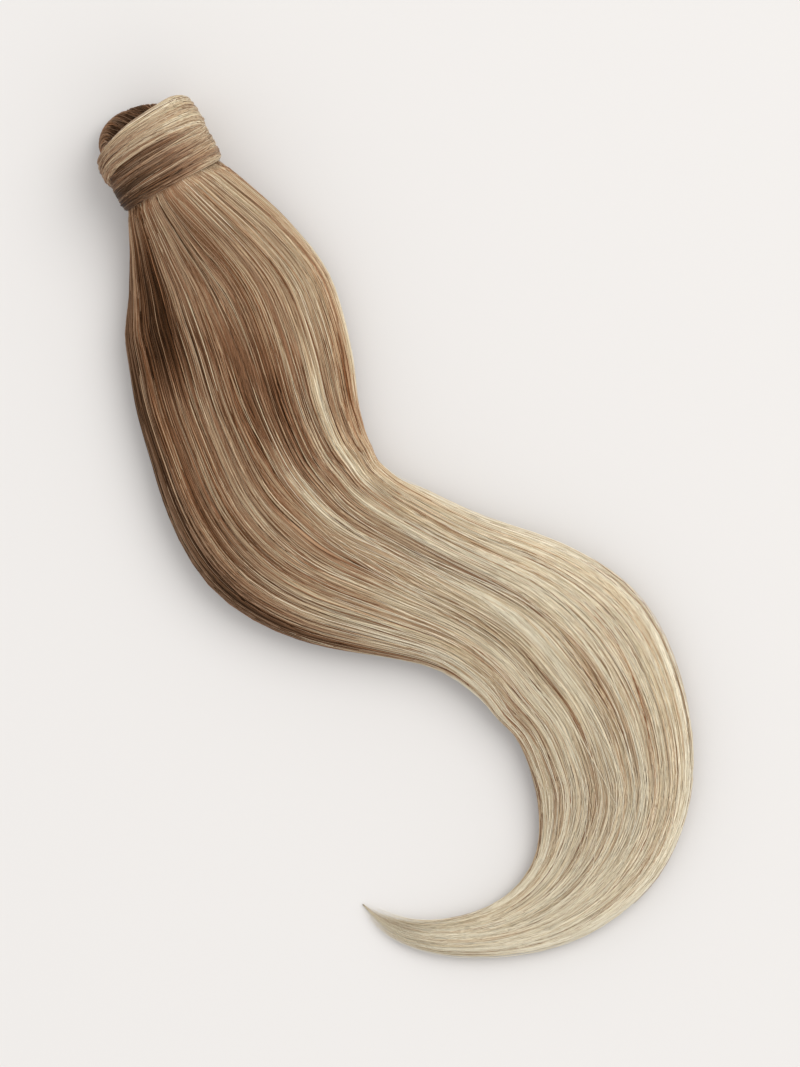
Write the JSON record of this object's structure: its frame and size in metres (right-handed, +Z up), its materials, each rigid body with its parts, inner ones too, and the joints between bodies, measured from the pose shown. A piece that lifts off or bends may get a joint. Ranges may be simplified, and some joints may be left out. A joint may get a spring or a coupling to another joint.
{
  "type": "ponytail hairpiece",
  "caption": "Long wavy ponytail hairpiece lying flat: strand-wrapped hollow root on a band with a comb, S-shaped tail to a curled tip.",
  "frame": {"origin": "middle of the footprint, on the surface that the hairpiece lies on", "axes": "+Z up, +Y along the root's axis towards its open mouth, +X to the right of the root seen from above"},
  "size_m": [0.1754, 0.4272, 0.0417],
  "materials": {
    "tail_hair": "smooth hair, brown at the root fading to pale blonde",
    "wrap_hair": "smooth hair wound flat",
    "band_weave": "woven elastic",
    "comb_plastic": "polished plastic"
  },
  "bodies": {
    "root": {"tail_hair": "tail_hair", "wrap_strand": "wrap_hair", "root_band": "band_weave", "comb": "comb_plastic"}
  },
  "joints": []
}
